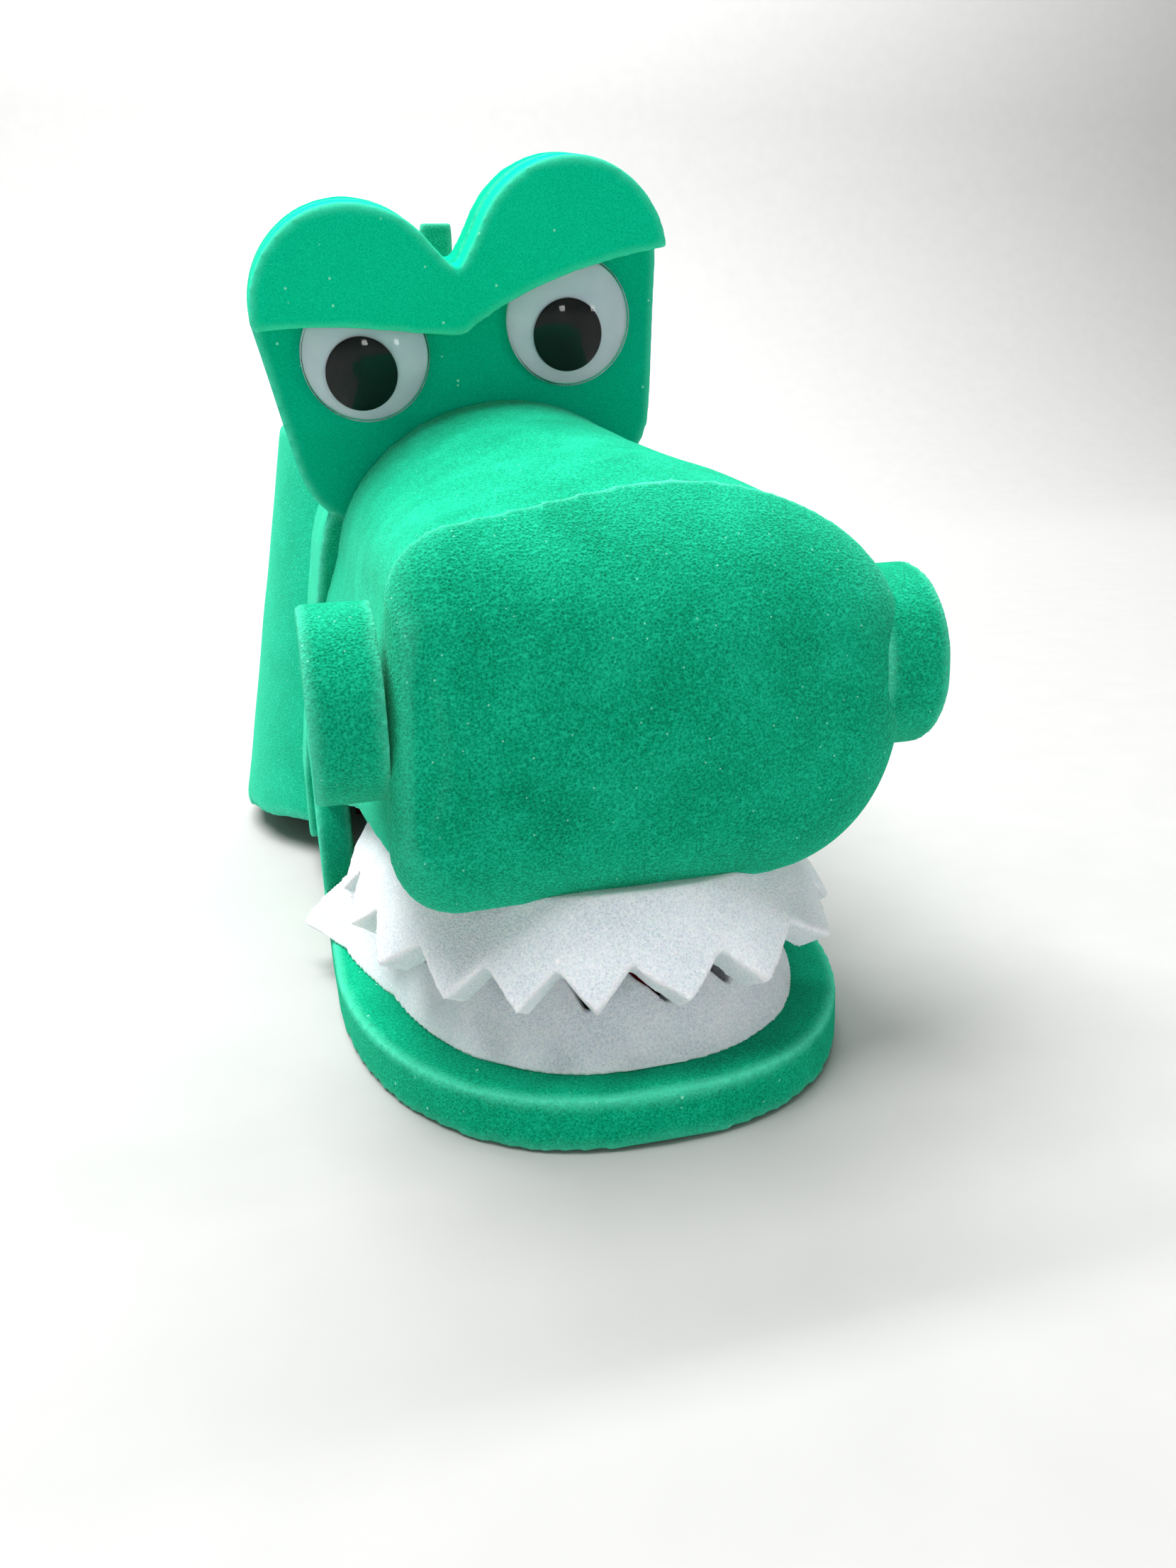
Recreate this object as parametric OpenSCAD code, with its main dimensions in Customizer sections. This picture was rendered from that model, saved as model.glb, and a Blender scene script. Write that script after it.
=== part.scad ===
// Hand puppet with a moving mouth: foam neck sleeve, snout, toothed jaw and rolling googly eyes.
// Millimetres. +Z up, the face looks along -Y, +X to the right, z = 0 is the table it stands on.

/* [Foam] */
// Thickness of the foam sheet
foam_t = 12.7; // [11:0.1:14]
// Thickness of the foam strip that the teeth are cut from
tooth_t = 10; // [8:0.5:11]
// Thickness of the stiff boards behind the mouth lining
board_t = 3; // [2:0.5:4]
// Thickness of the red mouth lining
lining_t = 2; // [1.5:0.5:3]

/* [Neck] */
// Radius of the neck sleeve at the table
neck_r = 104.5; // [98:0.5:112]
// Distance of the neck sleeve's axis behind the eye board
neck_y = 140; // [134:1:160]
// Height of the straight part of the neck sleeve
neck_h = 175; // [165:1:185]
// Height of the crown above the neck sleeve
crown_h = 33; // [28:1:40]
// Tilt of the sleeve's lower rim: it stands on its back edge and is lifted in front, in degrees
rim_tilt = 4.5; // [4:0.5:6]

/* [Head] */
// Radius of the head's arch at the eye board
arch_r = 57.3; // [54:0.1:60]
// Height of the arch's centre
arch_z = 122.6; // [116:0.1:128]
// Half width of the head at the cheeks
cheek_x = 76; // [75:0.5:80]
// Length of the snout in front of the eye board
snout_len = 171; // [140:1:205]
// Width of the snout's front pad
pad_w = 124; // [118:1:130]
// Height of the snout's lower edge above the table
snout_low_z = 65; // [64:0.5:68]
// Height of the snout's front pad
pad_h = 94; // [86:1:100]

/* [Jaw] */
// Width of the lower jaw
jaw_w = 146.6; // [140:0.2:148]
// How far the jaw's front edge stands in front of the snout
jaw_lip = 9; // [6:1:14]
// Thickness of the jaw's foam plate
jaw_t = 14; // [12:0.5:15]
// Height of the mouth's hinge line
hinge_z = 36; // [35:0.5:38]
// Radius of the round cheeks that turn about the hinge line
cheek_r = 34; // [32:0.5:35]

/* [Face] */
// Radius of the googly eyes
eye_r = 20; // [18:0.5:22]
// Radius of the pupil discs
pupil_r = 11.5; // [9:0.5:13]
// Radius of the nostril discs
nostril_r = 22.8; // [20:0.1:24]
// Thickness of the nostril discs
nostril_t = 15; // [12:0.5:18]

/* [Hidden] */
$fn = 96;

run_gap = 0.5;            // gap between the jaw and the head all through the mouth's travel
eps = 0.01;
big = 400;
hinge_y = 12;
board_lean = 14;          // the eye board leans forward
board_roll = -8;          // and is glued on a little turned
neck_slope = 0.2;         // the sleeve narrows with height
pad_x = 4.7;              // the front pad is glued on a little to the right
pad_hang = 8;             // and hangs this far below the snout's lower edge
socket_r = cheek_r + run_gap;
jaw_front = snout_len + jaw_lip;
tip_y = snout_len + 9;    // the upper teeth's tips reach this far forward
green = [0.10, 0.62, 0.47];
deep_green = [0.05, 0.54, 0.42];
white_foam = [0.93, 0.94, 0.94];
mouth_red = [0.62, 0.06, 0.07];

// puts the box's middle over the origin
module placed() translate([0, -centre_y, 0]) children();

// x right, z up along the eye board, -y out of its front face
module on_board() {
    placed()
        translate([0, 0, arch_z])
            rotate([board_lean, 0, 0])
                rotate([0, board_roll, 0])
                    children();
}

// extrudes an x-z outline from y0 back to y1
module prism_y(y0, y1) {
    translate([0, y1, 0])
        rotate([90, 0, 0])
            linear_extrude(y1 - y0)
                children();
}

module rod_x(r, half_len) {
    rotate([0, 90, 0])
        cylinder(h = 2 * half_len, r = r, center = true);
}

// ---- neck ----

function neck_at(z) = neck_r - neck_slope * z;

// the sleeve's wall line from the table up, then the crown's line to the top
function neck_line(inset) = [[neck_r - inset, 0], [neck_at(neck_h) - inset, neck_h]];
function crown_line(inset) = [for (i = [0 : 14])
    [(neck_at(neck_h) - inset) * cos(90 * i / 14), neck_h + (crown_h - inset) * sin(90 * i / 14)]];

module neck_solid() {
    translate([0, neck_y, 0])
        rotate_extrude()
            polygon(concat([[0, -1], [neck_r, -1]], neck_line(0), crown_line(0)));
}

// everything below the tilted plane of the sleeve's rim
module under_rim() {
    translate([0, neck_y + neck_r, 0])
        rotate([-rim_tilt, 0, 0])
            translate([-big, -2 * big, -big])
                cube([2 * big, 3 * big, big]);
}

// the way from the neck into the head, for the arm and hand
module arm_tunnel(y0, y1) {
    prism_y(y0, y1)
        difference() {
            head_outline(foam_t + 1);
            translate([-big, -big])
                square([2 * big, big + jaw_t]);
        }
}

module neck_sleeve() {
    inner = neck_line(foam_t);
    color(green)
        placed()
            difference() {
                translate([0, neck_y, 0])
                    rotate_extrude()
                        polygon(concat(neck_line(0), [for (i = [len(inner) - 1 : -1 : 0]) inner[i]]));
                arm_tunnel(-10, neck_y);
                under_rim();
                jaw_room();
            }
}

module crown() {
    inner = crown_line(foam_t);
    color(green)
        placed()
            translate([0, neck_y, 0])
                rotate_extrude()
                    polygon(concat(crown_line(0), [for (i = [len(inner) - 1 : -1 : 0]) inner[i]]));
}

// ---- crest: pointed strips along the crown and down the back of the neck ----

crest_t = foam_t;
crest_x = -4.5;           // the crown's strip is glued on a little to the left
front_spike_h = 50;       // the point behind the notch of the eye board; each one after is lower
spike_fall = 9;
spike_h = 42;
crown_spikes = 4;
back_spikes = 4;

// a point of the crest's foot in the middle plane, d outside the foam, as [y, z]
function crown_foot(deg, d) = [neck_y + (neck_at(neck_h) + d) * cos(deg), neck_h + (crown_h + d) * sin(deg)];
function back_foot(z, d) = [neck_y + neck_at(z) + d, z];

module crown_spikes_outline() {
    from = 138;
    to = 4;
    pitch = (from - to) / crown_spikes;
    polygon(concat(
        [for (i = [0 : crown_spikes - 1], half = [0, 1])
            crown_foot(from - pitch * (i + half / 2), half == 0 ? 2 : front_spike_h - spike_fall * i)],
        [crown_foot(to, 2)],
        [for (i = [0 : 12]) crown_foot(to + (from - to) * i / 12, -3)]));
}

back_top_z = neck_h - 6;
back_low_z = 18;
back_pitch = (back_top_z - back_low_z) / back_spikes;
function back_tip(i) = back_foot(back_top_z - back_pitch * (i + 0.5), spike_h * (0.62 - 0.09 * i));
back_y = max([for (i = [0 : back_spikes - 1]) back_tip(i)[0]]);

// the middle of the puppet's length, which goes over the origin
centre_y = (back_y - max(jaw_front, tip_y)) / 2;

module back_spikes_outline() {
    polygon(concat(
        [for (i = [0 : back_spikes - 1]) each [back_foot(back_top_z - back_pitch * i, 2), back_tip(i)]],
        [back_foot(back_low_z, 2)],
        [for (i = [0 : 6]) back_foot(back_low_z + (back_top_z - back_low_z) * i / 6, -3)]));
}

module crest_strip(middle_x) {
    color(deep_green)
        placed()
            difference() {
                translate([middle_x - crest_t / 2, 0, 0])
                    rotate([90, 0, 90])
                        linear_extrude(crest_t)
                            children();
                neck_solid();
            }
}

module crown_crest() crest_strip(crest_x) crown_spikes_outline();

module back_crest() crest_strip(0) back_spikes_outline();

// ---- head behind the eye board ----

cheek_mid_z = 97;
cheek_low_z = 40;
back_arch_r = arch_r + 6.7;   // behind the eye board the arch is wider, with the same top
back_arch_z = arch_z - 6.6;

// arch above, straight cheeks that spread towards the table
module head_outline(inset, top_r = arch_r, top_z = arch_z) {
    r = top_r - inset;
    lean = 6;
    steps = 24;
    polygon(concat(
        [[-cheek_x + inset, 0],
         [-cheek_x + inset, cheek_low_z],
         [-cheek_x + 8 + inset, cheek_mid_z]],
        [for (i = [0 : steps])
            let (deg = 180 - lean - (180 - 2 * lean) * i / steps)
            [r * cos(deg), top_z + r * sin(deg)]],
        [[cheek_x - 8 - inset, cheek_mid_z],
         [cheek_x - inset, cheek_low_z],
         [cheek_x - inset, 0]]));
}

// everything in front of the leaning plane through the eye board's front face
module before_face() {
    translate([0, 0, arch_z])
        rotate([board_lean, 0, 0])
            translate([-big, -big, -big])
                cube([2 * big, big, 2 * big]);
}

// the head is cut away round the eye board
module board_slot() {
    translate([0, 0, arch_z])
        rotate([board_lean, 0, 0])
            rotate([0, board_roll, 0])
                prism_y(-5, foam_t)
                    heart_outline();
}

// the mouth's line along the upper jaw: level under the teeth, then down to the cheeks
teeth_back_y = 81 - snout_len;
fold_y = hinge_y - 14;
fold_top_z = hinge_z + 8;
mouth_slope = (snout_low_z - fold_top_z) / (fold_y - teeth_back_y);
mouth_line = [[-big, snout_low_z], [teeth_back_y, snout_low_z], [fold_y, fold_top_z], [big, fold_top_z]];

module extrude_x(half_len) {
    translate([-half_len, 0, 0])
        rotate([90, 0, 90])
            linear_extrude(2 * half_len)
                children();
}

// the open mouth under the upper jaw, and the space swept by the jaw's round cheeks
module mouth_cut() {
    translate([0, hinge_y, hinge_z])
        rod_x(socket_r, big);
    extrude_x(big)
        polygon(concat([[-big, -big]], mouth_line, [[big, -big]]));
}

// under the hinge line the head's sides start behind the jaw's swing
module jaw_room() {
    translate([0, hinge_y, hinge_z])
        rod_x(socket_r, big);
    extrude_x(big)
        polygon([[-big, -big], [-big, hinge_z], [hinge_y + socket_r, hinge_z], [hinge_y + socket_r, -big]]);
    translate([-big, -big, -big])
        cube([2 * big, big + fold_y, big + fold_top_z]);
}

module head_tube() {
    color(green)
        placed()
            difference() {
                prism_y(-60, neck_y - 20)
                    difference() {
                        head_outline(0, back_arch_r, back_arch_z);
                        head_outline(foam_t, back_arch_r, back_arch_z);
                        translate([-big, -big])
                            square([2 * big, big]);
                    }
                before_face();
                jaw_room();
                neck_solid();
                under_rim();
                board_slot();
            }
}

// ---- eye board and brow ----

lobe_x = 34;              // half the distance between the middles of the heart's two lobes
lobe_r = 31;
lobe_z = 91;              // height of the lobes' middles above the arch's centre
lobe_rise = 1.6;          // the right lobe stands this much higher, and the left one lower
notch_z = 97;
board_point_z = -12;      // the heart's lower point, hidden in the head
brow_point_z = 78;        // the brow's low middle
brow_end_z = 91.3;        // and its lower corners
brow_half_w = 65;
eye_x = 32.9;
eye_z = 75.8;

module heart_half(s) {
    hull() {
        translate([s * lobe_x, lobe_z + s * lobe_rise])
            circle(r = lobe_r);
        translate([s * (lobe_x - 2), 46])
            circle(r = 26);
        translate([0, board_point_z])
            circle(r = 10);
    }
}

module heart_outline() {
    heart_half(-1);
    heart_half(1);
    translate([-10, 40])
        square([20, notch_z - 40]);
}

module board_blank() prism_y(0, foam_t) heart_outline();

module eye_board() {
    color(green)
        difference() {
            on_board()
                board_blank();
            placed()
                arm_tunnel(-80, 80);
            placed()
                neck_solid();
        }
}

// the brow's lower edge: a low middle, and an arch over each eye
function brow_edge(x) =
    brow_end_z - (brow_end_z - brow_point_z) * pow(1 - min(1, abs(x) / brow_half_w), 2.2);

module brow_outline() {
    side = brow_half_w + 5;
    steps = 26;
    intersection() {
        heart_outline();
        polygon(concat(
            [[side, 150], [-side, 150]],
            [for (i = [0 : steps])
                let (x = -side + 2 * side * i / steps)
                [x, brow_edge(x)]]));
    }
}

eye_flange_t = 1;
eye_rim_h = 2;
eye_cap_h = 7;
eye_wall = 1;
eye_gap = 0.3;

module brow() {
    color(deep_green)
        on_board()
            difference() {
                prism_y(-foam_t, 0)
                    brow_outline();
                for (s = [-1, 1])
                    eye_place(s)
                        translate([0, 0, -1])
                            cylinder(h = 1 + 8, r = eye_r + eye_gap);
            }
}

// z out of the eye board's face, at an eye's centre
module eye_place(s) {
    translate([s * eye_x, 0, eye_z])
        rotate([90, 0, 0])
            children();
}

module eye_back(s) {
    color("white")
        on_board()
            eye_place(s)
                cylinder(h = eye_flange_t, r = eye_r);
}

// spherical cap of the given foot radius and height, standing on a rim
module cap_profile(r, rim, h) {
    ball_r = (r * r + h * h) / (2 * h);
    intersection() {
        translate([0, rim + h - ball_r])
            circle(r = ball_r, $fn = 180);
        translate([0, rim])
            square([r, h + 1]);
    }
    square([r, rim]);
}

module eye_dome(s) {
    color([0.9, 0.95, 1, 0.35])
        on_board()
            eye_place(s)
                translate([0, 0, eye_flange_t])
                    rotate_extrude()
                        difference() {
                            cap_profile(eye_r, eye_rim_h, eye_cap_h);
                            translate([0, -eps])
                                cap_profile(eye_r - eye_wall, eye_rim_h, eye_cap_h - eye_wall);
                        }
}

pupil_t = 1;
pupil_drop = eye_r - eye_wall - pupil_r - 1;

// the pupil disc lies at the bottom of its dome: straight down, seen in the turned board
module pupil(s) {
    color([0.03, 0.03, 0.03])
        on_board()
            eye_place(s)
                rotate([0, 0, board_roll])
                    translate([0, -pupil_drop, eye_flange_t + eye_gap])
                        cylinder(h = pupil_t, r = pupil_r);
}

module left_eye_back() eye_back(-1);
module right_eye_back() eye_back(1);
module left_eye_dome() eye_dome(-1);
module right_eye_dome() eye_dome(1);
module left_pupil() pupil(-1);
module right_pupil() pupil(1);

// ---- snout ----

pad_r = 18;

pad_low_z = snout_low_z - pad_hang;

module pad_outline(inset) {
    r = pad_r - inset;
    hull()
        for (s = [-1, 1], z = [pad_low_z + pad_r, pad_low_z + pad_h - pad_r])
            translate([pad_x + s * (pad_w / 2 - pad_r), z])
                circle(r = r, $fn = 32);
}

// from the head's arch at the eye board to the front pad
module snout_solid(inset) {
    hull() {
        prism_y(-1, 40)
            head_outline(inset);
        prism_y(-snout_len + foam_t, -snout_len + foam_t + 1)
            pad_outline(2 + inset);
    }
}

module snout_cover() {
    color(green)
        placed()
            intersection() {
                before_face();
                difference() {
                    snout_solid(0);
                    snout_core();
                    mouth_cut();
                }
            }
}

// the hollow for the fingers, closed in front by the pad
module snout_core() {
    hull() {
        prism_y(-1, 60)
            head_outline(foam_t);
        prism_y(-snout_len + foam_t - 1, -snout_len + foam_t + 1)
            pad_outline(pad_r - 4);
    }
}

module snout_front_pad() {
    color(green)
        placed()
            prism_y(-snout_len, -snout_len + foam_t)
                pad_outline(0);
}

nostril_x = 0.5;
nostril_foot = pad_w / 2 - 3.5;

module nostril(s) {
    color(green)
        placed()
            translate([nostril_x + s * nostril_foot, -snout_len + nostril_r + 3, pad_low_z + pad_h / 2 + 3])
                rotate([0, s * 90, 0])
                    cylinder(h = nostril_t + 3, r = nostril_r);
}

// glued flat to the snout's side, clear of the front pad
module fitted_nostril(s) {
    difference() {
        nostril(s);
        placed()
            snout_solid(0);
        placed()
            prism_y(-snout_len - 1, -snout_len + foam_t)
                pad_outline(0);
    }
}

module left_nostril() fitted_nostril(-1);
module right_nostril() fitted_nostril(1);

// ---- mouth: lining, stiff boards, strap for the fingers ----

mouth_x = cheek_x - foam_t - 2.5;
fold_r = 3;
palate_front_y = 28 - snout_len;

// a sheet of thickness t under the line from z0 at y0 forward to z1 at y1, on from there level
module sheet(y0, z0, y1, z1, y2, t, d) {
    extrude_x(big)
        polygon([[y0, z0 - d], [y1, z1 - d], [y2, z1 - d],
                 [y2, z1 - d - t], [y1, z1 - d - t], [y0, z0 - d - t]]);
}

// seen from above: narrow inside the teeth, wide between the cheeks
module mouth_plan(y0, w0, y1, w1) {
    linear_extrude(big)
        polygon([[-w0, y0], [w0, y0], [w1, y1], [-w1, y1]]);
}

module palate_sheet(t, d) {
    placed()
        intersection() {
            sheet(fold_y, fold_top_z, teeth_back_y, snout_low_z, palate_front_y, t, d);
            mouth_plan(fold_y, mouth_x - 13, palate_front_y, upper_foot_half_w - 25.5);
        }
}

module palate_board() {
    color([0.35, 0.33, 0.30])
        palate_sheet(board_t, 0);
}

module palate_lining() {
    color(mouth_red)
        palate_sheet(lining_t, board_t);
}

strap_t = 2;
strap_w = 54;
strap_h = 26;
strap_len = 25;

// a band over the fingers, standing on the level front of the palate board
module finger_strap() {
    color([0.15, 0.15, 0.16])
        placed()
            prism_y(teeth_back_y - strap_len - 2, teeth_back_y - 2)
                translate([0, snout_low_z])
                    difference() {
                        translate([-strap_w / 2 - strap_t, 0])
                            square([strap_w + 2 * strap_t, strap_h + strap_t]);
                        translate([-strap_w / 2, -1])
                            square([strap_w, strap_h + 1]);
                    }
}

module mouth_fold() {
    color(mouth_red)
        placed()
            translate([0, hinge_y, hinge_z])
                rod_x(fold_r, mouth_x - 2);
}

// ---- teeth: zigzag strips bent round the front of the mouth ----

// a superellipse round the mouth's front, as a point for an angle from straight ahead;
// past 90 it runs straight back, a millimetre for each degree
round_n = 2.39;
function bow(deg, half_w, depth) = abs(deg) > 90
    ? [sign(deg) * half_w, abs(deg) - 90]
    : [half_w * sign(sin(deg)) * pow(abs(sin(deg)), 2 / round_n),
       -depth * pow(abs(cos(deg)), 2 / round_n)];

// one ring of the strip: foot outside, foot inside, edge inside, edge outside
function tooth_ring(deg, half_w, depth, y0, z_foot, z_edge, step, t, shift) =
    let (f = bow(deg, half_w, depth),
         fi = bow(deg, half_w - t, depth - t),
         e = bow(deg, half_w + step, depth + step),
         ei = bow(deg, half_w + step - t, depth + step - t))
    [[f[0] + shift, y0 + f[1], z_foot], [fi[0] + shift, y0 + fi[1], z_foot],
     [ei[0] + shift, y0 + ei[1], z_edge], [e[0] + shift, y0 + e[1], z_edge]];

// tips are the teeth's angles, with a valley between each two and one at each end
function zigzag(tips, reach) = concat(
    [-reach],
    [for (i = [0 : len(tips) - 1]) each
        (i == 0 ? [tips[0]] : [(tips[i - 1] + tips[i]) / 2, tips[i]])],
    [reach]);

// the foot is cut away in front, under the hanging pad
function foot_cut(deg, cut) = cut * max(0, min(1, (48 - abs(deg)) / 10));

// step is how far the tips stand outside the foot; on the straight tails the foot and the edge
// go down by foot_fall and edge_fall for each millimetre, and splay turns the left end outwards
module tooth_strip(half_w, depth, y0, z_foot, z_tip, z_valley, step, tips, reach,
                   foot_fall, edge_fall, splay, cut) {
    degs = zigzag(tips, reach);
    part_of = (z_valley - z_foot) / (z_tip - z_foot);
    rings = [for (i = [0 : len(degs) - 1])
        let (tip = i % 2 == 1,
             tail = max(0, abs(degs[i]) - 90))
        tooth_ring(degs[i], half_w, depth, y0, z_foot - foot_fall * tail - foot_cut(degs[i], cut),
                   (tip ? z_tip : z_valley) - edge_fall * tail, tip ? step : step * part_of,
                   tooth_t, -splay * max(0, -degs[i] - splay_from))];
    up = z_tip > z_foot;
    sides = [for (i = [0 : len(degs) - 2], k = [0 : 3])
        let (a = 4 * i + k, b = 4 * i + (k + 1) % 4)
        up ? [a, b, b + 4, a + 4] : [a + 4, b + 4, b, a]];
    last = 4 * (len(degs) - 1);
    ends = up ? [[3, 2, 1, 0], [last, last + 1, last + 2, last + 3]]
              : [[0, 1, 2, 3], [last + 3, last + 2, last + 1, last]];
    polyhedron(points = [for (r = rings) each r], faces = concat(sides, ends), convexity = 6);
}

// the cutter's own uneven spacing, as angles round the mouth
upper_tips = [-106, -84, -65, -43, -26, -10.5, 3, 19, 47, 68, 88, 107];
lower_tips = [-106, -88, -72, -55, -37, -20, -4, 12, 32, 54, 74, 92, 108];
splay_from = 72;

bow_depth = 111.5;
bow_y = -jaw_front + bow_depth;   // where the jaw's sides become straight
upper_foot_half_w = cheek_x - foam_t - 11.8;
upper_depth = 73;
upper_tip_z = snout_low_z - 29;
upper_valley_z = snout_low_z - 20;
lower_tip_z = jaw_t + 24;
lower_valley_z = jaw_t + 13;

module upper_teeth() {
    color(white_foam)
        placed()
            tooth_strip(upper_foot_half_w, upper_depth, 8 - snout_len + upper_depth,
                        snout_low_z, upper_tip_z, upper_valley_z, tip_y - snout_len + 8,
                        upper_tips, 118, mouth_slope, 0, 0, pad_hang);
}

module lower_teeth() {
    color(white_foam)
        placed()
            tooth_strip(jaw_w / 2 - 12, bow_depth - 11, bow_y, jaw_t, lower_tip_z, lower_valley_z,
                        -13, lower_tips, 117, 0, 0.3, 0.45, 0);
}

// ---- lower jaw ----

module jaw_outline() {
    steps = 30;
    back = hinge_y + cheek_r;
    polygon(concat(
        [[-jaw_w / 2, back]],
        [for (i = [0 : steps])
            [0, bow_y] + bow(-90 + 180 * i / steps, jaw_w / 2, bow_depth)],
        [[jaw_w / 2, back]]));
}

module jaw_swing() {
    translate([-big, -big, -1])
        cube([2 * big, big + hinge_y, big]);
    translate([0, hinge_y, hinge_z])
        rod_x(cheek_r, big);
}

thumb_w = 30;
thumb_depth = 6;
thumb_len = 75;

// the plate has a hollow for the thumb, open at the back under the lining's board
module jaw_plate() {
    color(deep_green)
        placed()
            difference() {
                intersection() {
                    linear_extrude(jaw_t)
                        jaw_outline();
                    jaw_swing();
                }
                translate([-thumb_w / 2, hinge_y - thumb_len, jaw_t - thumb_depth])
                    cube([thumb_w, 2 * thumb_len, big]);
            }
}

// a disc about the hinge line, standing on the jaw's plate
module jaw_cheek(s) {
    inner = mouth_x + 1;
    color(deep_green)
        placed()
            difference() {
                translate([s * (inner + jaw_w / 2) / 2, hinge_y, hinge_z])
                    rod_x(cheek_r, (jaw_w / 2 - inner) / 2);
                translate([-big, -big, -big])
                    cube([2 * big, 2 * big, big + jaw_t]);
            }
}

module left_jaw_cheek() jaw_cheek(-1);
module right_jaw_cheek() jaw_cheek(1);

jaw_sheet_back_y = hinge_y - 8;
jaw_sheet_front_y = 46 - snout_len;
jaw_sheet_front_w = jaw_w / 2 - 39.3;   // half width between the lower teeth
jaw_fold_z = hinge_z - 4;

module jaw_sheet(t, lift) {
    placed()
        intersection() {
            sheet(jaw_sheet_back_y, jaw_fold_z, jaw_sheet_front_y, jaw_t + board_t + lining_t,
                  jaw_sheet_front_y - 10, t, lift);
            mouth_plan(jaw_sheet_back_y, mouth_x - 15, jaw_sheet_front_y - 10, jaw_sheet_front_w);
        }
}

module jaw_board() {
    color([0.35, 0.33, 0.30])
        jaw_sheet(board_t, lining_t);
}

module jaw_lining() {
    color(mouth_red)
        jaw_sheet(lining_t, 0);
}

neck_sleeve();
crown();
crown_crest();
back_crest();
head_tube();
eye_board();
brow();
snout_cover();
snout_front_pad();
left_nostril();
right_nostril();
upper_teeth();
palate_board();
palate_lining();
finger_strap();
mouth_fold();
left_eye_back();
right_eye_back();
left_eye_dome();
right_eye_dome();
left_pupil();
right_pupil();
jaw_plate();
left_jaw_cheek();
right_jaw_cheek();
lower_teeth();
jaw_board();
jaw_lining();
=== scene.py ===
import math

import bmesh
import bpy
from mathutils import Matrix, Vector, noise


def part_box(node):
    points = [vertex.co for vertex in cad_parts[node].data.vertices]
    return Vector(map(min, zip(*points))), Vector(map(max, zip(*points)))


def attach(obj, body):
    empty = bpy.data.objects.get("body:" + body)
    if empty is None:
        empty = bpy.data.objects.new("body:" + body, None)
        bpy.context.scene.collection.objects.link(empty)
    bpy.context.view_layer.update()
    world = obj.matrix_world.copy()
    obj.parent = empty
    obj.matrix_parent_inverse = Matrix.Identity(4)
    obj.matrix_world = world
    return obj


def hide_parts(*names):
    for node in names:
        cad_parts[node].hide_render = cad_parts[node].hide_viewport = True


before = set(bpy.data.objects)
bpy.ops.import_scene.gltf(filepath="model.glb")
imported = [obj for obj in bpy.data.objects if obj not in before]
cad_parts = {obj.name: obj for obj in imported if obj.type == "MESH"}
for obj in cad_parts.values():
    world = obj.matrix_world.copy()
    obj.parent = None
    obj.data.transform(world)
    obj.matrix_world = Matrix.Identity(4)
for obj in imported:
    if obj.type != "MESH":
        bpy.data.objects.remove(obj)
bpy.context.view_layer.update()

# All outlines are in millimetres: x right, y back from the foot of the eye board, z up from the table.
mm = 0.001
jawFrontY = -180
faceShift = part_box("jaw_plate")[0].y / mm - jawFrontY


def place(x, y, z):
    return Vector((x, y + faceShift, z)) * mm


# camera

cameraSetup = {
    "place": (-0.07528, -0.45830, 0.16289),
    "right": (0.96814017, -0.24666356, -0.04314745),
    "up": (0.1082721, 0.25697606, 0.96033351),
    "forward": (0.22579142, 0.93440911, -0.27549563),
    "lens": 27.67,
}


def makeCamera():
    data = bpy.data.cameras.new("tableCamera")
    data.lens = cameraSetup["lens"]
    data.sensor_width = 36
    data.clip_start = 0.01
    camera = bpy.data.objects.new("tableCamera", data)
    axes = Matrix((cameraSetup["right"], cameraSetup["up"], -Vector(cameraSetup["forward"]))).transposed()
    camera.matrix_world = Matrix.Translation(cameraSetup["place"]) @ axes.to_4x4()
    bpy.context.scene.collection.objects.link(camera)
    bpy.context.scene.camera = camera


makeCamera()
print("camera ready")


# materials

def linear(hexColour, alpha=1):
    parts = [int(hexColour[i:i + 2], 16) / 255 for i in (1, 3, 5)]
    return [c / 12.92 if c <= 0.04045 else ((c + 0.055) / 1.055) ** 2.4 for c in parts] + [alpha]


def addNode(tree, kind, values=None, links=None, stops=(), **settings):
    node = tree.nodes.new(kind)
    for key, value in settings.items():
        setattr(node, key, value)
    for key, value in (values or {}).items():
        node.inputs[key].default_value = value
    for key, socket in (links or {}).items():
        tree.links.new(socket, node.inputs[key])
    # a ramp starts with two stops of its own
    for extra in stops[2:]:
        node.color_ramp.elements.new(0.5)
    for i, (position, colour) in enumerate(stops):
        node.color_ramp.elements[i].position = position
        node.color_ramp.elements[i].color = colour
    return node


def newMaterial(name):
    material = bpy.data.materials.new(name)
    material.use_nodes = True
    tree = material.node_tree
    tree.nodes.clear()
    output = addNode(tree, "ShaderNodeOutputMaterial")
    coords = addNode(tree, "ShaderNodeTexCoord")
    return material, tree, output, coords.outputs["Object"]


def grey(value):
    return (value, value, value, 1)


# Open-cell polyurethane foam, cut with a blade: matt, granular, with small torn cells that catch the light.
greenFoam = {
    # edge is the painted highlight colour laid on convex cut edges
    "dark": "#007853", "mid": "#00A87C", "light": "#23CFA3", "edge": "#5FE0BC",
    "cell": 0.75, "mottle": 16, "patches": 0.26, "sparkle": 3.6, "bump": 0.7, "gloss": 0,
    "sheen": 0.42, "sheenTint": "#6FEFC6", "scatter": 0.06, "scatterMm": 2, "paintedGlintColour": "#9CF2D4",
}
# the neck's sheet is a little paler, and its skin is finer
neckFoam = dict(greenFoam, dark="#027A58", mid="#05A47C", light="#22C79C", cell=0.65, patches=0.16, bump=0.4)
# painted shade: the snout's block and discs face the camera and get darker greens, a shaded copy of the green foam
shadedPadFoam = dict(greenFoam, dark="#006C4B", mid="#009A70", light="#1AC094")
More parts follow.
